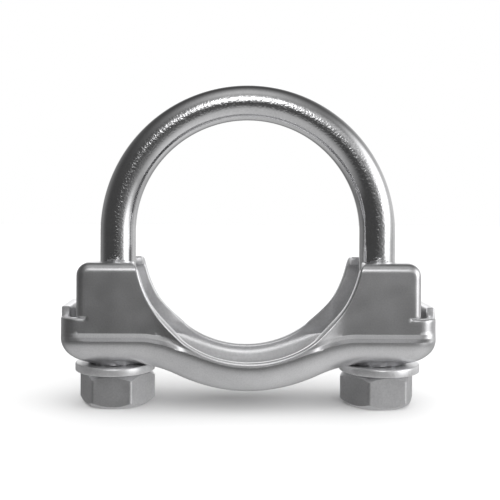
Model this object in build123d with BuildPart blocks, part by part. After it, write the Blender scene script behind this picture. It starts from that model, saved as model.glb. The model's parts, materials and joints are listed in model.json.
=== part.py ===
from build123d import *
import os
from math import asin, ceil, cos, pi, radians, sin, sqrt, tan

# A pipe clamp of the exhaust kind: a U-bolt, its pressed saddle, and a washer and nut on each leg.
# Millimetres. The pipe's axis is Y and passes through the origin, at mid-depth of the saddle.
# The legs run down, along -Z, and the pipe lies between the bow above and the saddle below.

os.makedirs("parts", exist_ok=True)

# ---- driving dimensions ----
pipe_radius = 21.25  # a 42.5 mm exhaust pipe

rod_diameter = 7.0  # blank of a rolled M8 thread
leg_half_spacing = 25.6
bow_lift = 2.55  # bow centre above the pipe's axis, the clamp being not yet drawn up

thread_pitch = 1.25  # M8 coarse
thread_major = 7.9
thread_minor = 6.55
thread_crest = 0.2
thread_root = 1.08  # width of the ridge where it meets the core
thread_clearance = 0.10  # between the bolt's thread and the nut's, on the radius and on each flank
thread_bite = 0.05  # how far the ridge is let into its core
thread_top = -8.5

sheet = 2.0  # the saddle's sheet
cheek_half_depth = 9.0
belly_half_depth = 10.5
belly_height = 6.2  # from the lowest line up to the widest line
step_height = 1.6  # from the widest line up to the flat cheek
base_z = -23.0  # flat part of the belly's lowest line, where the washers bear
centre_z = -28.45  # the same line under the pipe
centre_arc_radius = 31.5
ease_radius = 24.0  # from the arc under the pipe to the flat part
section_top = 9.4  # height of the swept section
saddle_half_length = 35.7
end_radius = 6.0  # belly into the end wall, seen from the front
corner_radius = 3.5  # cheek into the end wall, seen from above
belly_corner_radius = 5.0
wing_half_length = 32.5
wing_top_z = -2.7
wing_bend = 2.4  # outer radius of the wing's top and side bends
ear_rim_z = -13.3
ear_tab_z = -11.9  # the middle of the end wall stands a little higher
ear_tab_half_depth = 5.5
ear_inner_x = 33.7
flap_bottom_z = -14.8  # lower edge of the wing's outer wall, inside the tub
lip_start_x = 21.8  # the lips stop short of the pipe's seat
leg_hole_diameter = 9.0
lip_opening = 8.6  # between the wing's front and rear lips, for the leg

washer_diameter = 15.6
washer_hole = 9.0
washer_thickness = 1.5
washer_shift = 0.45  # the washers sit a little outwards in their play
washer_margin = 0.2  # the flat under a washer is this much wider all round

nut_across_flats = 13.0
nut_sides = 6
nut_height = 6.5
nut_chamfer_angle = 30
nut_face_diameter = 12.3  # round bearing face left by the chamfer
nut_turn_left = -3.0
nut_turn_right = 8.6
leg_recess = 0.3  # the leg's end lies this far inside the nut
leg_end_chamfer = 0.6
washer_edge = 0.3

# ---- derived dimensions ----
washer_bottom_z = base_z - washer_thickness
nut_bottom_z = washer_bottom_z - nut_height
leg_end_z = nut_bottom_z + leg_recess
thread_start_z = leg_end_z + leg_end_chamfer + thread_pitch / 2
nut_corner_radius = nut_across_flats / 2 / cos(pi / nut_sides)
centre_arc_z = centre_z + centre_arc_radius
ease_centre_z = base_z - ease_radius
cheek_foot_z = base_z + belly_height + step_height
trim_height = 40.0  # tall enough for a tool to pass right through
overrun = 1.0  # how far a swept section or a tool runs past the part
ease_centre_x = sqrt((centre_arc_radius + ease_radius) ** 2 - (centre_arc_z - ease_centre_z) ** 2)


# ---- saddle: outer and inner skins ----
def belly_line(lift):
    """Lowest line of the belly, seen from the front, raised by lift: flat, ease, arc, ease, flat."""
    arc = centre_arc_radius - lift
    ease = ease_radius + lift
    lean = asin(ease_centre_x / (arc + ease))
    join = (arc * sin(lean), centre_arc_z - arc * cos(lean))
    half = lean / 2
    ease_mid = (ease_centre_x - ease * sin(half), ease_centre_z + ease * cos(half))
    flat_z = base_z + lift
    with BuildLine(Plane.XZ) as line:
        Line((-saddle_half_length - overrun, flat_z), (-ease_centre_x, flat_z))
        ThreePointArc((-ease_centre_x, flat_z), (-ease_mid[0], ease_mid[1]), (-join[0], join[1]))
        ThreePointArc((-join[0], join[1]), (0, centre_arc_z - arc), join)
        ThreePointArc(join, ease_mid, (ease_centre_x, flat_z))
        Line((ease_centre_x, flat_z), (saddle_half_length + overrun, flat_z))
    return line.wires()[0]


def end_trim(inset):
    """Tool that rounds the belly's ends, both into the end walls and at the corners seen from above."""
    half_length = saddle_half_length - inset
    with BuildPart() as tool:
        with BuildSketch(Plane.XZ):
            with Locations((0, base_z + inset)):
                raised = Rectangle(2 * half_length, trim_height, align=(Align.CENTER, Align.MIN))
            fillet(raised.vertices().group_by(Axis.Y)[0], end_radius - inset)
            with Locations((0, centre_z)):
                Rectangle(2 * ease_centre_x, trim_height, align=(Align.CENTER, Align.MIN))
        extrude(amount=2 * belly_half_depth, both=True)
        with BuildSketch(Plane.XY.offset(centre_z - overrun)):
            RectangleRounded(
                2 * half_length, 2 * (belly_half_depth - inset), belly_corner_radius - inset
            )
        extrude(amount=2 * trim_height, mode=Mode.INTERSECT)
    return tool.part


def skin(inset):
    """Solid bounded by the saddle's surface drawn in by inset: the belly, its step and the lower cheeks."""
    half_belly = belly_half_depth - inset
    half_cheek = cheek_half_depth - inset
    widest = belly_height - inset
    shoulder = widest + step_height
    start = Plane(
        origin=(-saddle_half_length - overrun, 0, base_z + inset), x_dir=(0, -1, 0), z_dir=(-1, 0, 0)
    )
    with BuildPart() as body:
        with BuildSketch(start):
            with BuildLine():
                EllipticalCenterArc((0, widest), half_belly, widest, start_angle=180, arc_size=180)
                Spline((half_belly, widest), (half_cheek, shoulder), tangents=((0, 1), (0, 1)))
                Polyline(
                    (half_cheek, shoulder),
                    (half_cheek, section_top),
                    (-half_cheek, section_top),
                    (-half_cheek, shoulder),
                )
                Spline((-half_cheek, shoulder), (-half_belly, widest), tangents=((0, -1), (0, -1)))
            make_face()
        sweep(path=belly_line(inset))
        add(end_trim(inset), mode=Mode.INTERSECT)
    return body.part


def upright(half_length, half_depth, bottom, top):
    """Block standing across the saddle: half_length along X, half_depth along Y, from bottom to top."""
    with BuildPart() as block:
        with BuildSketch(Plane.XY.offset(bottom)):
            Rectangle(2 * half_length, 2 * half_depth)
        extrude(amount=top - bottom)
    return block.part


with BuildPart() as saddle_outer:
    add(upright(wing_half_length, cheek_half_depth, cheek_foot_z, wing_top_z))
    wing_edges = edges().group_by(Axis.Z)[-1] + edges().filter_by(Axis.Z)
    fillet(wing_edges, wing_bend)
    # The tub's cheeks and end walls stand up to the ear's rim.
    with BuildSketch(Plane.XY.offset(cheek_foot_z)):
        RectangleRounded(2 * saddle_half_length, 2 * cheek_half_depth, corner_radius)
    extrude(amount=ear_rim_z - cheek_foot_z)
    with BuildSketch(Plane.XY.offset(cheek_foot_z)):
        Rectangle(2 * saddle_half_length, 2 * ear_tab_half_depth)
    extrude(amount=ear_tab_z - cheek_foot_z)
    add(skin(0))

with BuildPart() as saddle_inner:
    add(skin(sheet))
    inner_half_depth = cheek_half_depth - sheet
    add(upright(wing_half_length - sheet, inner_half_depth, cheek_foot_z, wing_top_z - sheet))
    add(upright(ear_inner_x, inner_half_depth, cheek_foot_z, flap_bottom_z))
    # The gap between the wing's outer wall and the ear is open at the top.
    with BuildSketch(Plane.XY.offset(flap_bottom_z)):
        for side in (-1, 1):
            with Locations((side * (wing_half_length + ear_inner_x) / 2, 0)):
                Rectangle(ear_inner_x - wing_half_length, 2 * inner_half_depth)
    extrude(amount=wing_top_z - flap_bottom_z)

with BuildPart() as saddle:
    add(saddle_outer.part)
    add(saddle_inner.part, mode=Mode.SUBTRACT)
    # The pipe's seat.
    with BuildSketch(Plane.XZ):
        Circle(pipe_radius)
    extrude(amount=2 * belly_half_depth, both=True, mode=Mode.SUBTRACT)
    # Between the two lips of each wing there is room for the leg, and the lips stop short of the seat.
    with BuildSketch(Plane.XY.offset(flap_bottom_z)):
        Rectangle(wing_half_length + ear_inner_x, lip_opening)
        Rectangle(2 * lip_start_x, 2 * inner_half_depth)
    extrude(amount=wing_top_z - flap_bottom_z, mode=Mode.SUBTRACT)
    for side in (-1, 1):
        # The leg's hole through the belly.
        with BuildSketch(Plane.XY.offset(centre_z)):
            with Locations((side * leg_half_spacing, 0)):
                Circle(leg_hole_diameter / 2)
        extrude(amount=cheek_foot_z - centre_z, mode=Mode.SUBTRACT)
        # The belly is pressed flat under the washer.
        with BuildSketch(Plane.XY.offset(base_z)):
            with Locations((side * (leg_half_spacing + washer_shift), 0)):
                Circle(washer_diameter / 2 + washer_margin)
        extrude(amount=centre_z - base_z, mode=Mode.SUBTRACT)
saddle.part.label = "saddle"
export_step(saddle.part, "parts/saddle.step")


# ---- threads ----
def thread_ridge(clearance, bottom, top):
    """Right-hand helical ridge round the Z axis, grown by clearance on the radius and on each flank."""
    core = thread_minor / 2 + clearance - thread_bite
    crest = thread_major / 2 + clearance
    root_half = thread_root / 2 + clearance / 2
    crest_half = thread_crest / 2 + clearance
    with BuildPart() as ridge:
        with BuildLine() as turns:
            Helix(pitch=thread_pitch, height=top - bottom, radius=core, center=(0, 0, bottom))
        with BuildSketch(Plane.XZ):
            with BuildLine():
                Polyline(
                    (core, bottom - root_half),
                    (crest, bottom - crest_half),
                    (crest, bottom + crest_half),
                    (core, bottom + root_half),
                    close=True,
                )
            make_face()
        sweep(path=turns.wires()[0], is_frenet=True)
    return ridge.part


# ---- U-bolt ----
with BuildPart() as threaded_end:
    with BuildSketch(Plane.XY.offset(leg_end_z)):
        Circle(thread_minor / 2)
    extrude(amount=thread_top - leg_end_z)
    chamfer(edges().group_by(Axis.Z)[0], leg_end_chamfer)
    add(thread_ridge(0, thread_start_z, thread_top - thread_pitch / 2))

with BuildPart() as u_bolt:
    with BuildLine(Plane.XZ) as bend:
        Line((-leg_half_spacing, thread_top), (-leg_half_spacing, bow_lift))
        ThreePointArc(
            (-leg_half_spacing, bow_lift), (0, bow_lift + leg_half_spacing), (leg_half_spacing, bow_lift)
        )
        Line((leg_half_spacing, bow_lift), (leg_half_spacing, thread_top))
    with BuildSketch(Plane(origin=(-leg_half_spacing, 0, thread_top), z_dir=(0, 0, 1))):
        Circle(rod_diameter / 2)
    sweep(path=bend.wires()[0])
    for side in (-1, 1):
        with Locations((side * leg_half_spacing, 0, 0)):
            add(threaded_end.part)
u_bolt.part.label = "u_bolt"
export_step(u_bolt.part, "parts/u_bolt.step")


# ---- washers and nuts, one of each on either leg ----
def make_washer(side):
    with BuildPart() as washer:
        with BuildSketch(Plane.XY.offset(washer_bottom_z)):
            with Locations((side * (leg_half_spacing + washer_shift), 0)):
                Circle(washer_diameter / 2)
                Circle(washer_hole / 2, mode=Mode.SUBTRACT)
        extrude(amount=washer_thickness)
        rims = edges().filter_by(GeomType.CIRCLE).sort_by(SortBy.RADIUS)[-2:]
        fillet(rims, washer_edge)
    return washer.part


def make_nut(side, turn):
    face_chamfer = (nut_corner_radius - nut_face_diameter / 2) * tan(radians(nut_chamfer_angle))
    outline = [
        (0, nut_bottom_z),
        (nut_face_diameter / 2, nut_bottom_z),
        (nut_corner_radius, nut_bottom_z + face_chamfer),
        (nut_corner_radius, washer_bottom_z - face_chamfer),
        (nut_face_diameter / 2, washer_bottom_z),
        (0, washer_bottom_z),
    ]
    turns_below = ceil((thread_start_z - nut_bottom_z) / thread_pitch) + 1
    tap_bottom = thread_start_z - turns_below * thread_pitch
    with BuildPart() as tap:
        with BuildSketch(Plane.XY.offset(nut_bottom_z - 2 * thread_pitch)):
            Circle(thread_minor / 2 + thread_clearance)
        extrude(amount=nut_height + 4 * thread_pitch)
        add(thread_ridge(thread_clearance, tap_bottom, washer_bottom_z + thread_pitch))
    with BuildPart() as nut:
        with BuildSketch(Plane.XY.offset(nut_bottom_z)):
            RegularPolygon(nut_corner_radius, nut_sides, rotation=turn)
        extrude(amount=nut_height)
        with BuildSketch(Plane.XZ):
            with BuildLine():
                Polyline(*outline, close=True)
            make_face()
        revolve(axis=Axis.Z, mode=Mode.INTERSECT)
        add(tap.part, mode=Mode.SUBTRACT)
    return nut.part.moved(Location((side * leg_half_spacing, 0, 0)))


for name, side, turn in (("left", -1, nut_turn_left), ("right", 1, nut_turn_right)):
    washer = make_washer(side)
    washer.label = f"washer_{name}"
    export_step(washer, f"parts/washer_{name}.step")
    nut = make_nut(side, turn)
    nut.label = f"nut_{name}"
    export_step(nut, f"parts/nut_{name}.step")
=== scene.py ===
import json
from math import atan2, cos, log, pi, radians, sin, sqrt, tan

import bmesh
import bpy
import numpy as np
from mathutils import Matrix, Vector


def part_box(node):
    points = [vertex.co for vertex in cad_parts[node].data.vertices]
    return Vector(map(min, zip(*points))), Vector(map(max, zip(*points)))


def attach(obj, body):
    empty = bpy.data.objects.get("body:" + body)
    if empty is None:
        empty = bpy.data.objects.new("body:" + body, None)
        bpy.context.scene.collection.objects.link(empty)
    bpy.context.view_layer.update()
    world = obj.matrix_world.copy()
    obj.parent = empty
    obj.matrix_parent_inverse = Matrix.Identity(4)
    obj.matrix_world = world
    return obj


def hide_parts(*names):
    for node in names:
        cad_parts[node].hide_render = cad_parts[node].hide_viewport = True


# A U-bolt pipe clamp in bright zinc. Shapes are worked out in millimetres, in the frame's own axes:
# Y along the pipe, Z up from the saddle to the bow. MM turns them into Blender's metres.

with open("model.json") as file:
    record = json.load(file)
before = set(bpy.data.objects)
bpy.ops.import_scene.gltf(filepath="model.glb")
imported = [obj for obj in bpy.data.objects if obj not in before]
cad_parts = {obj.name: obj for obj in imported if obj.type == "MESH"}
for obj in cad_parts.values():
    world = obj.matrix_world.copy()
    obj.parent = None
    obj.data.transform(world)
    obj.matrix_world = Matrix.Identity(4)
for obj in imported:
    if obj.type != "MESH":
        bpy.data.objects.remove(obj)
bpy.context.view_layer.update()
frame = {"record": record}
MM = 0.001


def node_box(name):
    """Lowest and highest corner of a CAD node, in millimetres."""
    low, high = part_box(name)
    return np.array(low) / MM, np.array(high) / MM


# ---- sizes read from the frame ----
seat_radius = frame["record"]["mounts"][0]["dims"]["r_mm"]
bolt_low, bolt_high = node_box("u_bolt")
saddle_low, saddle_high = node_box("saddle")
nut_low, nut_high = node_box("nut_right")
washer_low, washer_high = node_box("washer_right")
leg_x = (nut_low[0] + nut_high[0]) / 2
base_z = washer_high[2]
nut_bottom_z = nut_low[2]
leg_end_z = bolt_low[2]

# ---- rod and thread ----
ROD_RADIUS = 3.5
THREAD_PITCH = 1.25
THREAD_MAJOR = 3.95
THREAD_MINOR = 3.275
THREAD_FLANK = (0.16, 0.86)  # the flank's two ends, from the crest's middle at 0 to the root's middle at 1
THREAD_TOP = -8.5
THREAD_PHASE = 0.305  # start of the helix, as a share of the pitch
THREAD_ROWS = 14  # rows of the mesh in one pitch
RUNOUT_GAP = 0.3  # plain rod between the thread's last trace and THREAD_TOP
RUNOUT = 2.2  # height over which the thread fades into the plain rod
END_CHAMFER = 0.45  # how far the leg's end face lies inside the thread's root
bow_radius = leg_x
bow_z = bolt_high[2] - ROD_RADIUS - bow_radius

# ---- saddle ----
SHEET = 1.7
CHEEK_FRONT = 9.0  # half-depth of the flat cheek
CHEEK_REAR = 8.75
TAB_HALF = 5.5  # half-width of the tab on the ear
TAB_INSET = 0.91  # first line of the mesh in from the tab's edge, as a share of the half-width
EAR_RIM_Z = -13.3
EAR_TAB_Z = -11.5
FOOT_Z = -16.1  # where the flat cheek begins to step out towards the belly
WIDEST_Z = -17.35  # where the belly is widest, near the legs
WIDEST_BLEND = 3.0  # height over which that line bends into the one below the seat's edge
WIDEST_DIP = 1.2  # how much lower the belly is widest towards the middle
DIP_X = (12.0, 20.0)  # between these the dip fades out
EDGE_DROP = 0.9  # least distance from the seat's edge down to where the belly is widest
LEDGE_SLOPE = 1.55  # how fast the cheek steps back just above the belly
BATTER = 0.63  # and how fast it goes on doing so up to the flat
STEP_GROWTH = 0.6  # how much taller the step is towards the middle
FLARE_X = (11.0, 18.5)  # between these the cheek's flare along the seat's edge fades out
FLARE_WIDTH = 6.0  # how far from the seat's edge the flare reaches
FLARE_GAP = 0.15  # how far short of the belly's depth the full flare stays
HOLE_SEAT = (5.4, 6.4)  # round each leg the belly is pressed flat up to the first radius, free past the other
WASHER_SEAT = (0.2, 1.0)  # the same for each washer, as distances outside its rim
BOTTOM_RISE = 2.5  # what lies up to this far above the flat belongs to the belly's bottom
LEG_HOLE_RADIUS = 4.5
HOLE_DRAW = 9.0  # every open edge of the bottom this near a leg is drawn onto its hole's circle
HOLE_SHARP = 6.75  # and cut edges this near a leg aren't rounded
END_ROUND = 7.5  # how far the belly's end is rounded, seen from the front
BELLY_CORNER = 5.0  # corner radius of the belly, seen from above
CORNER_LEAD = 0.4  # low down, the end's corner is led into this far before it starts
WING_TOP_REAR = saddle_high[2]
WING_TOP_FRONT = WING_TOP_REAR - 0.25  # the front wings stand this much lower
WING_FRONT = 32.5  # half-length over the wings
WING_REAR = 30.6
BEND_FRONT = 1.55  # radius of the bend round the wing's face
BEND_REAR = 2.2
WING_CORNER = 0.9  # rounding of the flat face inside the bend
LIP_EDGE = 4.3  # half-width of the opening between the two lips
CORNER_FRONT = 0.8  # rounding of the wing's corner next to the seat
CORNER_REAR = 0.15
CUT_ROUND = 0.38  # rounding of the cut edges
EDGE_STEP = 0.6  # first step of the mesh in from every cut edge
RIM_Q = 3.0  # section's q at the ear's rim
LAST_Q = 2.72  # and at the last row below it
ARC_RADIUS = 31.5  # radius of the belly's lowest line under the pipe
EASE_RADIUS = 24.0  # and of the curve that eases it into the flat under each nut
belly_depth = saddle_high[1]
saddle_half = saddle_high[0]
arc_z = saddle_low[2] + ARC_RADIUS
ease_z = base_z - EASE_RADIUS
ease_x = sqrt((ARC_RADIUS + EASE_RADIUS) ** 2 - (arc_z - ease_z) ** 2)
join_x = ease_x * ARC_RADIUS / (ARC_RADIUS + EASE_RADIUS)
slit_x = sqrt(seat_radius**2 - EAR_RIM_Z**2)  # where the seat's edge passes the ear rim's height

# ---- washers and nuts ----
WASHER_BORE = 4.5
WASHER_ROLL = 0.32  # the punched edge is rolled on one face
WASHER_BURR = 0.12  # and nearly square on the other
NUT_ACROSS = 13.0  # width across the flats
NUT_FACE_RADIUS = 5.9  # where the chamfer starts on each face
NUT_CHAMFER = radians(36)
NUT_CORNER_ROUND = 0.6
NUT_CLEARANCE = 0.10  # radial gap between the two threads
NUT_MOUTH = 4.15  # radius of the countersunk mouth of the bore
NUT_BORE_START = 0.05  # height of the bore's first row above the lower face
NUT_TURNS = {"left": -3.0, "right": 8.6}  # degrees that each nut stands turned by

# ---- camera ----
CAMERA_MM = (-5.3, -158.2, 9.86)
LENS = 57.528  # focal length, to the sensor width below
SENSOR = 36.0
SHIFT = (0.058, -0.11)  # how far the lens is shifted, as shares of the picture's width
ROLL = radians(0.25)  # the picture stands turned clockwise by this


# ================= mesh helpers =================
class Shape:
    """Points and faces collected in millimetres, then made into one Blender object."""

    def __init__(self):
        self.points = []
        self.faces = []

    def grid(self, points, wrap=False):
        """Quads over an array of points, rows by columns. With wrap, the last column meets the first."""
        points = np.asarray(points, float)
        rows, columns = points.shape[:2]
        first = len(self.points)
        self.points.extend(points.reshape(-1, 3).tolist())
        for r in range(rows - 1):
            for c in range(columns if wrap else columns - 1):
                d = (c + 1) % columns
                here, above = first + r * columns, first + (r + 1) * columns
                self.faces.append((here + c, here + d, above + d, above + c))

    def fan(self, ring, centre):
        """Triangles from a closed ring of points to a centre."""
        first = len(self.points)
        self.points.extend(np.asarray(ring, float).tolist())
        self.points.append(list(centre))
        count = len(ring)
        for i in range(count):
            self.faces.append((first + i, first + (i + 1) % count, first + count))

    def build(self, name):
        mesh = bpy.data.meshes.new(name)
        mesh.from_pydata([[c * MM for c in p] for p in self.points], [], self.faces)
        bm = bmesh.new()
        bm.from_mesh(mesh)
        bmesh.ops.remove_doubles(bm, verts=bm.verts, dist=0.002 * MM)
        bmesh.ops.dissolve_degenerate(bm, edges=bm.edges, dist=0.001 * MM)
        bmesh.ops.recalc_face_normals(bm, faces=bm.faces)
        bm.to_mesh(mesh)
        bm.free()
        piece = bpy.data.objects.new(name, mesh)
        bpy.context.scene.collection.objects.link(piece)
        return piece


def apply_modifiers(piece):
    """Leaves the modifiers' result as the piece's own mesh."""
    graph = bpy.context.evaluated_depsgraph_get()
    mesh = bpy.data.meshes.new_from_object(piece.evaluated_get(graph))
    piece.modifiers.clear()
    piece.data = mesh


def smooth_shade(piece, angle):
    """Smooth shading, with edges sharper than angle kept crisp."""
    mesh = piece.data
    mesh.shade_smooth()
    bm = bmesh.new()
    bm.from_mesh(mesh)
    for edge in bm.edges:
        if len(edge.link_faces) == 2:
            edge.smooth = edge.calc_face_angle() < angle
    bm.to_mesh(mesh)
    bm.free()


def spaced(start, stop, count):
    """The ends of count equal steps from start to stop."""
    return np.linspace(start, stop, count + 1)


# ================= saddle =================
def ease(value, start, stop):
    """Rises smoothly from 0 at start to 1 at stop."""
    share = np.clip((value - start) / (stop - start), 0, 1)
    return share**2 * (3 - 2 * share)


def belly_line(x):
    """Lowest line of the belly: an arc under the pipe, eased into the flat under each nut."""
    x = np.abs(x)
    arc = arc_z - np.sqrt(ARC_RADIUS**2 - np.minimum(x, join_x) ** 2)
    levelling = ease_z + np.sqrt(EASE_RADIUS**2 - (np.clip(x, join_x, ease_x) - ease_x) ** 2)
    return np.where(x < join_x, arc, levelling)


def seat_line(x):
    """The pipe's arc, as a height."""
    return -np.sqrt(np.maximum(seat_radius**2 - np.asarray(x, float) ** 2, 0))


def widest_line(x):
    """Height at which the belly is widest. It dips under the pipe to stay below the seat's edge."""
    edge = seat_line(x) - EDGE_DROP
    level = WIDEST_Z - WIDEST_DIP * (1 - ease(np.abs(x), *DIP_X))
    blend = np.maximum(WIDEST_BLEND - np.abs(edge - level), 0) / WIDEST_BLEND
    return np.minimum(edge, level) - blend**2 * WIDEST_BLEND / 4


def cheek_depth(x, z, cheek):
    """Half-depth of the cheek. Along the seat's edge it flares out, to meet the belly towards the middle."""
    fade = ease(np.abs(x), *FLARE_X)
    inward = 1 - np.clip((np.hypot(x, z) - seat_radius) / FLARE_WIDTH, 0, 1)
    swell = (1 - fade) * inward**fade
    return cheek + (belly_depth - FLARE_GAP - cheek) * swell


def step_back(step):
    """Share of the step's depth reached at each share of its height: a ledge, then a gentler slope."""
    return np.minimum(LEDGE_SLOPE * step, 1 - BATTER * (1 - step))


def section(x, q, cheek):
    """Depth and height of the pressing's outer face at x.

    q runs 0 to 1 round the belly, to 2 up the step, and to 3 up the cheek as far as the ear's rim.
    Towards the middle the step grows taller and the cheek swells out to meet the belly.
    """
    low, wide = belly_line(x), widest_line(x)
    turn = np.clip(q, 0, 1) * pi / 2
    step = np.clip(q - 1, 0, 1)
    rise = np.clip(q - 2, 0, None)
    foot = wide + (FOOT_Z - WIDEST_Z) + STEP_GROWTH * (1 - ease(np.abs(x), *FLARE_X))
    height = low + (wide - low) * (1 - np.cos(turn)) + (foot - wide) * step
    height = height + (EAR_RIM_Z - foot) * rise
    depth = belly_depth * np.sin(turn) + (cheek_depth(x, height, cheek) - belly_depth) * step_back(step)
    return depth, height


def section_end(x, cheek, below):
    """The q at which the outer face reaches the seat's edge, less a margin below it."""
    low, high = np.zeros_like(x), np.full_like(x, RIM_Q)
    target = seat_line(x) - below
    for _ in range(40):
        middle = (low + high) / 2
        reached = section(x, middle, cheek)[1] > target
        high = np.where(reached, middle, high)
        low = np.where(reached, low, middle)
    return (low + high) / 2


# Rows of the tub's mesh, as values of q, up to the last but one.
turn_rows = np.concatenate([spaced(0, 1, 22)[:-1], spaced(1, 2, 14)[:-1], spaced(2, LAST_Q, 3)])


def ring_size(q, cheek):
    """Half-length, half-depth and corner radius of the tub's outline at q."""
    bulge = np.sin(np.clip(q, 0, 1) * pi / 2)
    step = step_back(np.clip(q - 1, 0, 1))
    corner = BELLY_CORNER * bulge + (cheek - TAB_HALF - BELLY_CORNER) * step
    half = saddle_half - END_ROUND * (1 - bulge)
    depth = belly_depth * bulge + (cheek - belly_depth) * step
    return half, depth, corner


def edge_shares(start, stop):
    """Shares of the way from the seat's edge at start to stop, with a first step of EDGE_STEP."""
    first = EDGE_STEP / (stop - start)
    return np.append(0, spaced(first, 1, 30))


def tub_patch(cheek, flat_end):
    """Outer face from the bottom's middle line up to the seat's edge and the ear's rim, for x >= 0."""
    columns = []
    # Under the pipe: each column runs from the middle line to the seat's edge.
    for x in spaced(0, slit_x, 40):
        xs = np.array([x])
        end = section_end(xs, cheek, 0)[0]
        last = section_end(xs, cheek, EDGE_STEP)[0]
        rows = np.where(turn_rows > 1, 1 + (turn_rows - 1) * (last - 1) / (turn_rows[-1] - 1), turn_rows)
        rows = np.append(rows, end)
        depth, height = section(np.full_like(rows, x), rows, cheek)
        columns.append(np.stack([np.full_like(rows, x), -depth, height], axis=1))
    # On to the wing's bend, then round the corner and along the end wall.
    rows = np.append(turn_rows, RIM_Q)
    rise = rows / RIM_Q
    half, depth, corner = ring_size(rows, cheek)
    start = half - corner
    to_bend = start[-1] - flat_end
    edge_x = start - to_bend * rise - CORNER_LEAD * (1 - rise)
    stepped = step_back(np.clip(rows - 1, 0, 1))

    def column(x, y):
        low = np.where(rows < RIM_Q, section(x, rows, cheek)[1], EAR_RIM_Z)
        return np.stack([x, -y, low], axis=1)

    for share in edge_shares(slit_x, flat_end)[1:]:
        along = slit_x + share * (edge_x - slit_x)
        height = section(along, rows, cheek)[1]
        columns.append(column(along, depth + (cheek_depth(along, height, cheek) - cheek) * stepped))
    for share in spaced(0, 1, 4)[1:]:
        columns.append(column(edge_x + share * (start - edge_x), depth))
    for turn in spaced(0, pi / 2, 8)[1:]:
        columns.append(column(start + corner * sin(turn), depth - corner * (1 - cos(turn))))
    for share in spaced(TAB_INSET, 0, 8):
        columns.append(column(half, (depth - corner) * share))
    return np.stack(columns, axis=1)


def wing_patches(cheek, bend, bend_x, top_z, corner):
    """The wing's flat face, and the bend and lip that follow its outline, for x >= 0."""
    bend_z = top_z - bend - WING_CORNER
    heights = np.append(EAR_RIM_Z, spaced(EAR_RIM_Z + EDGE_STEP, bend_z, 16))
    flat = []
    for z in heights:
        start = sqrt(seat_radius**2 - z**2)
        along = start + edge_shares(start, bend_x) * (bend_x - start)
        flat.append([(x, -cheek_depth(x, z, cheek), z) for x in along])
    # The strip's rows: how far out from the flat face's corner, how deep, and how far round the bend.
    rows = [(reach, -cheek, 0) for reach in spaced(0, WING_CORNER, 2)[:-1]]
    for turn in spaced(0, pi / 2, 8):
        rows.append((WING_CORNER + bend * sin(turn), -cheek + bend * (1 - cos(turn)), 1 - cos(turn)))
    top = WING_CORNER + bend
    rows += [(top, y, 1) for y in spaced(bend - cheek, -LIP_EDGE - EDGE_STEP, 3)[1:]]
    rows += [(top, -LIP_EDGE, 1)]
    strip = []
    for reach, y, inward in rows:
        start = sqrt(seat_radius**2 - (bend_z + reach) ** 2) + corner * inward
        row = [(start + s * (bend_x - start), y, bend_z + reach) for s in edge_shares(start, bend_x)]
        row += [(bend_x + reach * sin(a), y, bend_z + reach * cos(a)) for a in spaced(0, pi / 2, 8)[1:-1]]
        row += [(bend_x + reach, y, z) for z in heights[::-1]]
        strip.append(row)
    return np.array(flat), np.array(strip)


def ear_tab(cheek):
    """The part of the end wall that stands above the ear's rim, for y <= 0 and x >= 0."""
    shares = [1, *spaced(TAB_INSET, 0, 8)]
    heights = (EAR_RIM_Z, (EAR_RIM_Z + EAR_TAB_Z) / 2, EAR_TAB_Z)
    return np.array([[(saddle_half, -TAB_HALF * s, z) for s in shares] for z in heights])


def round_cut_edges(piece):
    """Rounds both edges of the cut faces away from the legs. Cut faces have the third material."""
    bm = bmesh.new()
    bm.from_mesh(piece.data)
    cut = [e for e in bm.edges if sorted(f.material_index == 2 for f in e.link_faces) == [False, True]]
    cut = [e for e in cut if min(from_leg(v.co) for v in e.verts) > HOLE_SHARP * MM]
    bmesh.ops.bevel(
        bm,
        geom=cut,
        offset=CUT_ROUND * MM,
        offset_type="OFFSET",
        segments=3,
        profile=0.5,
        affect="EDGES",
        clamp_overlap=False,
        material=-1,
    )
    bm.to_mesh(piece.data)
    bm.free()


def flatten_under_washers(points):
    """Presses the belly flat where it would meet the washer, and round each leg hole."""
    centre = (washer_low[0] + washer_high[0]) / 2
    radius = (washer_high[0] - washer_low[0]) / 2
    away = np.hypot(np.abs(points[..., 0]) - centre, points[..., 1])
    clear = 1 - ease(away, radius + WASHER_SEAT[0], radius + WASHER_SEAT[1])
    points[..., 2] += np.maximum(base_z - points[..., 2], 0) * clear
    ring = np.hypot(np.abs(points[..., 0]) - leg_x, points[..., 1])
    pressed = (1 - ease(ring, *HOLE_SEAT)) * (points[..., 2] < base_z + BOTTOM_RISE)
    points[..., 2] += (base_z - points[..., 2]) * pressed
    return points


def from_leg(point):
    """Distance from the nearer leg's axis, or infinity above the belly's bottom."""
    if point.z > (base_z + BOTTOM_RISE) * MM:
        return float("inf")
    return sqrt((abs(point.x) - leg_x * MM) ** 2 + point.y**2)


def punch_leg_holes(piece):
    """Opens the flat bottom inside each leg hole and draws the opening's edge onto the hole's circle."""
    bm = bmesh.new()
    bm.from_mesh(piece.data)
    radius = LEG_HOLE_RADIUS * MM
    inside = [face for face in bm.faces if from_leg(face.calc_center_median()) < radius]
    bmesh.ops.delete(bm, geom=inside, context="FACES")
    for vert in bm.verts:
        away = from_leg(vert.co)
        if vert.is_boundary and away < HOLE_DRAW * MM:
            centre_x = leg_x * MM if vert.co.x > 0 else -leg_x * MM
            vert.co.x = centre_x + (vert.co.x - centre_x) * radius / away
            vert.co.y *= radius / away
    bm.to_mesh(piece.data)
    bm.free()


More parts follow.
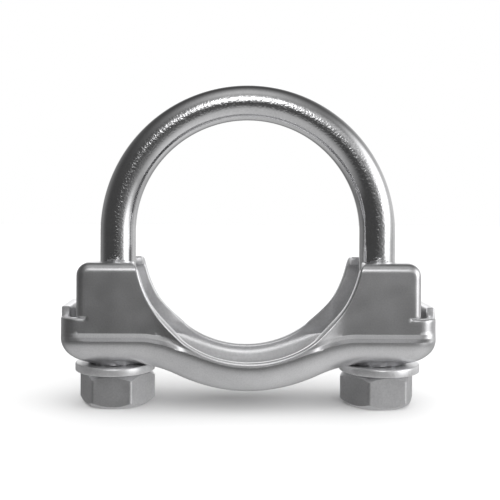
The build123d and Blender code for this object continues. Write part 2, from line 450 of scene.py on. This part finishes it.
def make_saddle(outside, inside, cut_edge):
    """The pressing: its outer face, given the sheet's thickness inwards."""
    shape = Shape()
    halves = (
        (CHEEK_FRONT, BEND_FRONT, WING_FRONT, WING_TOP_FRONT, CORNER_FRONT, 1),
        (CHEEK_REAR, BEND_REAR, WING_REAR, WING_TOP_REAR, CORNER_REAR, -1),
    )
    for cheek, bend, wing_half, top_z, corner, y_sign in halves:
        flat_end = wing_half - bend - WING_CORNER
        patches = [flatten_under_washers(tub_patch(cheek, flat_end))]
        patches += [*wing_patches(cheek, bend, flat_end, top_z, corner), ear_tab(cheek)]
        for patch in patches:
            for x_sign in (1, -1):
                shape.grid(patch * np.array([x_sign, y_sign, 1]))
    piece = shape.build("saddle_pressing")
    face = min(piece.data.polygons, key=lambda f: f.center.z)
    if face.normal.z > 0:
        piece.data.flip_normals()
    for material in (outside, inside, cut_edge):
        piece.data.materials.append(material)
    punch_leg_holes(piece)
    skin = piece.modifiers.new("sheet", "SOLIDIFY")
    skin.thickness = SHEET * MM
    skin.offset = -1
    skin.use_even_offset = True
    skin.use_quality_normals = True
    skin.material_offset = 1
    skin.material_offset_rim = 2
    apply_modifiers(piece)
    round_cut_edges(piece)
    smooth_shade(piece, radians(35))
    return piece


# ================= U-bolt =================
def thread_radius(angle, z):
    """Radius of the right-hand thread at each angle and height."""
    turn = (z / THREAD_PITCH - angle / (2 * pi) - THREAD_PHASE) % 1
    away = np.abs(turn - 0.5) * 2  # 0 in the crest's middle, 1 in the root's middle
    crest, root = THREAD_FLANK
    return THREAD_MINOR + (THREAD_MAJOR - THREAD_MINOR) * np.clip((root - away) / (root - crest), 0, 1)


def threaded_leg(side, angles):
    """Rings of one leg, from the chamfered end up to where the thread runs out into the plain rod."""
    rings = []
    for z in np.arange(leg_end_z, THREAD_TOP, THREAD_PITCH / THREAD_ROWS):
        fade = np.clip((THREAD_TOP - RUNOUT_GAP - z) / RUNOUT, 0, 1)
        radius = ROD_RADIUS + (thread_radius(angles, z) - ROD_RADIUS) * fade
        radius = np.minimum(radius, THREAD_MINOR - END_CHAMFER + (z - leg_end_z))
        x = side * leg_x + radius * np.cos(angles)
        rings.append(np.stack([x, radius * np.sin(angles), np.full(len(angles), z)], axis=1))
    return rings


def make_u_bolt():
    """The bent rod, as one mesh from the left leg's end over the bow to the right leg's end."""
    shape = Shape()
    around = 64
    angles = np.linspace(0, 2 * pi, around, endpoint=False)
    legs = {side: threaded_leg(side, angles) for side in (-1, 1)}
    for side, rings in legs.items():
        shape.grid(rings, wrap=True)
        shape.fan(rings[0], (side * leg_x, 0, leg_end_z))
    # The plain rod: up the left leg, over the bow and down the right leg.
    stations = [((-leg_x, z), (-1, 0)) for z in spaced(THREAD_TOP, bow_z, 24)]
    for turn in spaced(0, pi, 150)[1:-1]:
        out = (-cos(turn), sin(turn))
        stations.append(((bow_radius * out[0], bow_z + bow_radius * out[1]), out))
    stations += [((leg_x, z), (1, 0)) for z in spaced(bow_z, THREAD_TOP, 24)]
    rings = [legs[-1][-1]]
    for (x, z), (out_x, out_z) in stations:
        # The angle starts at +X on the left leg, as on the threaded ends.
        reach = -ROD_RADIUS * np.cos(angles)
        rings.append(np.stack([x + out_x * reach, ROD_RADIUS * np.sin(angles), z + out_z * reach], axis=1))
    shape.grid(rings, wrap=True)
    # Over the bow the rod's start has turned to -X, so the right leg's ring is read from there backwards.
    order = [(around // 2 - i) % around for i in range(around)]
    shape.grid([rings[-1], legs[1][-1][order]], wrap=True)
    piece = shape.build("u_bolt_rod")
    smooth_shade(piece, radians(50))
    return piece


# ================= washers and nuts =================
def turned_ring(outline, centre_x, around=96):
    """Rings of a closed outline of (radius, z) turned about a vertical axis."""
    angles = np.linspace(0, 2 * pi, around, endpoint=False)
    return [
        np.stack([centre_x + r * np.cos(angles), r * np.sin(angles), np.full(around, z)], axis=1)
        for r, z in outline
    ]


def make_washer(name, side):
    """A punched disc, as its outline turned about the leg's axis."""
    low, high = node_box(f"washer_{side}")
    centre_x = (low[0] + high[0]) / 2
    outer = (high[0] - low[0]) / 2
    middle = (outer + WASHER_BORE) / 2
    roll, burr = WASHER_ROLL, WASHER_BURR
    outline = [(outer - roll * (1 - sin(a)), high[2] - roll * (1 - cos(a))) for a in spaced(0, pi / 2, 5)]
    outline += [(outer - burr * (1 - cos(a)), low[2] + burr * (1 - sin(a))) for a in spaced(0, pi / 2, 3)]
    outline += [(middle, low[2])]
    for a in spaced(0, pi / 2, 3):
        outline.append((WASHER_BORE + burr * (1 - sin(a)), low[2] + burr * (1 - cos(a))))
    for a in spaced(0, pi / 2, 5):
        outline.append((WASHER_BORE + roll * (1 - cos(a)), high[2] - roll * (1 - sin(a))))
    outline += [(middle, high[2])]
    rings = turned_ring(outline, centre_x)
    shape = Shape()
    shape.grid(rings + rings[:1], wrap=True)
    piece = shape.build(name)
    smooth_shade(piece, radians(40))
    return piece


def hexagon(angle, across, corner_round):
    """Distance from the centre to a hexagon with rounded corners, in the direction angle."""
    local = (angle + pi / 6) % (pi / 3) - pi / 6
    flat = across / 2 / cos(local)
    inner = across / 2 - corner_round
    reach = inner / cos(pi / 6)
    away = pi / 6 - abs(local)
    edge = reach * cos(away) + sqrt(max(corner_round**2 - (reach * sin(away)) ** 2, 0))
    return min(flat, edge) if abs(local) > atan2(inner * tan(pi / 6), across / 2) else flat


def make_nut(name, side, turn):
    """A hexagon nut, chamfered on both faces, with the leg's own thread in its bore."""
    low, high = node_box(f"nut_{side}")
    centre_x = (low[0] + high[0]) / 2
    shape = Shape()
    # Degrees from the middle of a flat, in finer steps next to the corners.
    local = np.concatenate([spaced(-30, -25, 5), spaced(-25, 25, 14)[1:-1], spaced(25, 30, 5)[:-1]])
    angles = np.radians(np.concatenate([turn + 30 + 60 * k + local for k in range(6)]))
    reach = np.array([hexagon(a - radians(turn + 30), NUT_ACROSS, NUT_CORNER_ROUND) for a in angles])
    drop = np.maximum(reach - NUT_FACE_RADIUS, 0) * tan(NUT_CHAMFER)
    directions = np.stack([np.cos(angles), np.sin(angles)], axis=1)

    def ring(radius, z):
        radius = np.broadcast_to(radius, angles.shape)
        z = np.broadcast_to(z, angles.shape)
        xy = directions * radius[:, None]
        return np.stack([centre_x + xy[:, 0], xy[:, 1], z], axis=1)

    face = np.minimum(NUT_FACE_RADIUS, reach)
    between = (NUT_MOUTH + face) / 2
    outer = [ring(NUT_MOUTH, high[2]), ring(between, high[2]), ring(face, high[2])]
    outer += [ring(face + (reach - face) * s, high[2] - drop * s) for s in (1 / 3, 2 / 3, 1)]
    outer += [ring(reach, (high[2] - drop) * (1 - s) + (low[2] + drop) * s) for s in spaced(0, 1, 6)[1:-1]]
    outer += [ring(face + (reach - face) * s, low[2] + drop * s) for s in (1, 2 / 3, 1 / 3)]
    outer += [ring(face, low[2]), ring(between, low[2]), ring(NUT_MOUTH, low[2])]
    bore = []
    for z in np.arange(low[2] + NUT_BORE_START, high[2], THREAD_PITCH / THREAD_ROWS):
        radius = thread_radius(angles, z) + NUT_CLEARANCE
        mouth = NUT_MOUTH - min(z - low[2], high[2] - z)
        bore.append(ring(np.maximum(radius, mouth), z))
    shape.grid(outer + bore + outer[:1], wrap=True)
    piece = shape.build(name)
    smooth_shade(piece, radians(20))
    return piece


# ================= materials =================
TINT = (0.90, 1.08)  # the colour's darkest and lightest factor
MOTTLE = (0.45, 0.55)  # shares of the clouds and of the grain in the tint
ROUGH_CLOUDS = 0.08  # the clouds' share in the roughness
ROUGH_GRAIN = 0.008  # and what the grain adds to it or takes away
OFF_STRIP = 0.08  # the relief's share that is left outside the strip
STRIP_FADE_MM = 0.25  # width over which the relief grows to its full strength


def zinc(name, colour, rough, grain_mm, bump, patch_mm, metallic=1.0, depth_mm=0.05, strip_mm=None):
    """Bright zinc plating: a metal with fine orange peel and cloudy patches.

    With strip_mm, the orange peel is strong only where |Y| is above that, as on a bar marked by its die.
    """
    material = bpy.data.materials.new(name)
    material.use_nodes = True
    tree = material.node_tree
    nodes, links = tree.nodes, tree.links
    shader = nodes["Principled BSDF"]
    shader.inputs["Metallic"].default_value = metallic
    where = nodes.new("ShaderNodeTexCoord")

    def noise(size_mm, detail, roughness=0.6):
        node = nodes.new("ShaderNodeTexNoise")
        node.inputs["Scale"].default_value = 1 / (size_mm * MM)
        node.inputs["Detail"].default_value = detail
        node.inputs["Roughness"].default_value = roughness
        links.new(where.outputs["Object"], node.inputs["Vector"])
        return node.outputs["Fac"]

    def ramp(source, low, high, start=0.3, end=0.7):
        node = nodes.new("ShaderNodeMapRange")
        node.inputs["From Min"].default_value = start
        node.inputs["From Max"].default_value = end
        node.inputs["To Min"].default_value = low
        node.inputs["To Max"].default_value = high
        links.new(source, node.inputs["Value"])
        return node.outputs["Result"]

    clouds = noise(patch_mm, 2)
    grain = noise(grain_mm, 1.5)
    tint = nodes.new("ShaderNodeMix")
    tint.data_type = "RGBA"
    tint.inputs["A"].default_value = (*[c * TINT[0] for c in colour], 1)
    tint.inputs["B"].default_value = (*[min(c * TINT[1], 1) for c in colour], 1)
    mottle = nodes.new("ShaderNodeMath")
    mottle.operation = "ADD"
    links.new(ramp(clouds, 0, MOTTLE[0]), mottle.inputs[0])
    links.new(ramp(grain, 0, MOTTLE[1]), mottle.inputs[1])
    links.new(mottle.outputs["Value"], tint.inputs["Factor"])
    links.new(tint.outputs["Result"], shader.inputs["Base Color"])
    rough_mix = nodes.new("ShaderNodeMath")
    rough_mix.operation = "ADD"
    cloudy = ramp(clouds, rough * (1 - ROUGH_CLOUDS), rough * (1 + ROUGH_CLOUDS))
    links.new(cloudy, rough_mix.inputs[0])
    links.new(ramp(grain, -ROUGH_GRAIN, ROUGH_GRAIN), rough_mix.inputs[1])
    links.new(rough_mix.outputs["Value"], shader.inputs["Roughness"])
    relief = nodes.new("ShaderNodeBump")
    if strip_mm is None:
        relief.inputs["Strength"].default_value = bump
    else:
        axes = nodes.new("ShaderNodeSeparateXYZ")
        links.new(where.outputs["Object"], axes.inputs["Vector"])
        out = nodes.new("ShaderNodeMath")
        out.operation = "ABSOLUTE"
        links.new(axes.outputs["Y"], out.inputs[0])
        fade_start = (strip_mm - STRIP_FADE_MM) * MM
        on_strip = ramp(out.outputs["Value"], bump * OFF_STRIP, bump, fade_start, strip_mm * MM)
        links.new(on_strip, relief.inputs["Strength"])
    relief.inputs["Distance"].default_value = depth_mm * MM
    links.new(grain, relief.inputs["Height"])
    links.new(relief.outputs["Normal"], shader.inputs["Normal"])
    return material


def finish_piece(piece, node, material=None):
    """Gives the piece its material if one is given, makes it move with the body of the same name, and hides
    the CAD part.
    """
    if material is not None:
        piece.data.materials.append(material)
    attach(piece, node)
    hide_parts(node)


# ================= build =================
rod_zinc = zinc(
    "zinc_rod", (0.84, 0.84, 0.85), rough=0.085, grain_mm=0.40, bump=1.0, patch_mm=3.0,
    depth_mm=0.058, strip_mm=3.40,
)
sheet_zinc = zinc(
    "zinc_sheet", (0.80, 0.80, 0.81), rough=0.31, grain_mm=0.3, bump=0.08, patch_mm=4.0, metallic=0.98
)
inner_zinc = zinc(
    "zinc_inside", (0.73, 0.73, 0.74), rough=0.34, grain_mm=0.5, bump=0.15, patch_mm=3.0, metallic=0.8
)
washer_zinc = zinc(
    "zinc_washer", (0.90, 0.90, 0.91), rough=0.32, grain_mm=0.4, bump=0.3, patch_mm=2.5, metallic=0.82
)
edge_zinc = zinc(
    "zinc_cut_edge", (0.86, 0.86, 0.87), rough=0.32, grain_mm=0.35, bump=0.6, patch_mm=1.5, metallic=0.84
)
nut_zinc = zinc(
    "zinc_nut", (0.74, 0.74, 0.75), rough=0.44, grain_mm=0.4, bump=0.3, patch_mm=3.0, metallic=0.96
)

finish_piece(make_u_bolt(), "u_bolt", rod_zinc)
finish_piece(make_saddle(sheet_zinc, inner_zinc, edge_zinc), "saddle")
for side, turn in NUT_TURNS.items():
    finish_piece(make_washer(f"washer_disc_{side}", side), f"washer_{side}", washer_zinc)
    finish_piece(make_nut(f"hex_nut_{side}", side, turn), f"nut_{side}", nut_zinc)


# ================= stage, light and camera =================
FLOOR_REACH = 900.0  # half-width of the floor
FLOOR_GAP = 0.02  # between the floor and the nuts
AMBIENT = 0.06  # strength of the even grey
GROUND = 0.45  # and of the ground straight below
LOG_HALF = -0.6931  # log of 0.5: at its half-width a lobe has fallen to half its strength
GROUND_FADE = (-0.25, -0.75)  # the direction's Z from which the ground is seen, first faintly, then fully
# azimuth from the camera's side towards +X, elevation, half-width, strength
LOBES = [
    (1, 23.5, 9, 3.1),
    (30, 26, 10, 0.35),
    (58, 4, 15, 2.1),
    (80, 19, 16, 1.75),
    (130, 5, 26, 0.58),
    (0, 65, 24, 0.46),
    (180, 14, 17, 1.6),
    (22, -3, 12, 0.10),
    (-130, 0, 25, 0.17),
    (90, -55, 35, 0.22),
]
CLIP_START_M = 0.01


def make_floor():
    """A matt, pale floor under the nuts, which the metal doesn't mirror."""
    shape = Shape()
    reach = FLOOR_REACH
    floor_z = nut_bottom_z - FLOOR_GAP
    shape.grid([[(-reach, y, floor_z), (reach, y, floor_z)] for y in spaced(-reach, reach, 4)])
    floor = shape.build("floor")
    material = bpy.data.materials.new("pale_floor")
    material.use_nodes = True
    shader = material.node_tree.nodes["Principled BSDF"]
    shader.inputs["Base Color"].default_value = (0.88, 0.88, 0.88, 1)
    shader.inputs["Roughness"].default_value = 0.9
    shader.inputs["Specular IOR Level"].default_value = 0.0
    floor.data.materials.append(material)
    floor.visible_glossy = False


def make_world():
    """A soft studio as the metal sees it: an even grey, paler ground and a smooth lobe for each light."""
    world = bpy.data.worlds.new("studio")
    bpy.context.scene.world = world
    world.use_nodes = True
    tree = world.node_tree
    nodes, links = tree.nodes, tree.links
    nodes.clear()
    where = nodes.new("ShaderNodeTexCoord")

    def maths(kind, a, b):
        node = nodes.new("ShaderNodeMath")
        node.operation = kind
        for socket, value in zip(node.inputs, (a, b)):
            if isinstance(value, (int, float)):
                socket.default_value = value
            else:
                links.new(value, socket)
        return node.outputs["Value"]

    total = None
    for azimuth, elevation, half_width, strength in LOBES:
        az, el = radians(azimuth), radians(elevation)
        dot = nodes.new("ShaderNodeVectorMath")
        dot.operation = "DOT_PRODUCT"
        links.new(where.outputs["Generated"], dot.inputs[0])
        dot.inputs[1].default_value = (sin(az) * cos(el), -cos(az) * cos(el), sin(el))
        sharp = LOG_HALF / log(cos(radians(half_width)))
        facing = maths("MAXIMUM", dot.outputs["Value"], 0.0)
        lobe = maths("MULTIPLY", maths("POWER", facing, sharp), strength)
        total = lobe if total is None else maths("ADD", total, lobe)
    axes = nodes.new("ShaderNodeSeparateXYZ")
    links.new(where.outputs["Generated"], axes.inputs["Vector"])
    below = nodes.new("ShaderNodeMapRange")
    below.interpolation_type = "SMOOTHSTEP"
    for socket, value in zip(("From Min", "From Max", "To Min", "To Max"), (*GROUND_FADE, AMBIENT, GROUND)):
        below.inputs[socket].default_value = value
    links.new(axes.outputs["Z"], below.inputs["Value"])
    total = maths("ADD", total, below.outputs["Result"])
    path = nodes.new("ShaderNodeLightPath")
    light = nodes.new("ShaderNodeBackground")
    links.new(total, light.inputs["Color"])
    backdrop = nodes.new("ShaderNodeBackground")
    backdrop.inputs["Color"].default_value = (1, 1, 1, 1)
    mix = nodes.new("ShaderNodeMixShader")
    links.new(path.outputs["Is Camera Ray"], mix.inputs["Fac"])
    links.new(light.outputs["Background"], mix.inputs[1])
    links.new(backdrop.outputs["Background"], mix.inputs[2])
    out = nodes.new("ShaderNodeOutputWorld")
    links.new(mix.outputs["Shader"], out.inputs["Surface"])


def soft_light(name, direction, spread, strength):
    """An even, very soft light for the floor. It isn't mirrored in the metal."""
    data = bpy.data.lights.new(name, "SUN")
    data.angle = radians(spread)
    data.energy = strength
    light = bpy.data.objects.new(name, data)
    light.rotation_euler = Vector(direction).to_track_quat("-Z", "Y").to_euler()
    light.visible_glossy = False
    bpy.context.scene.collection.objects.link(light)


make_floor()
make_world()
soft_light("overhead", (-0.2, 0.3, -1), 130, 3.3)

camera_data = bpy.data.cameras.new("camera")
camera_data.sensor_width = SENSOR
camera_data.lens = LENS
camera_data.shift_x, camera_data.shift_y = SHIFT
camera_data.clip_start = CLIP_START_M
camera = bpy.data.objects.new("camera", camera_data)
camera.location = [c * MM for c in CAMERA_MM]
camera.rotation_euler = (pi / 2, 0, 0)
camera.rotation_euler.rotate_axis("Z", ROLL)
bpy.context.scene.collection.objects.link(camera)
bpy.context.scene.camera = camera
bpy.context.scene.view_settings.view_transform = "Standard"
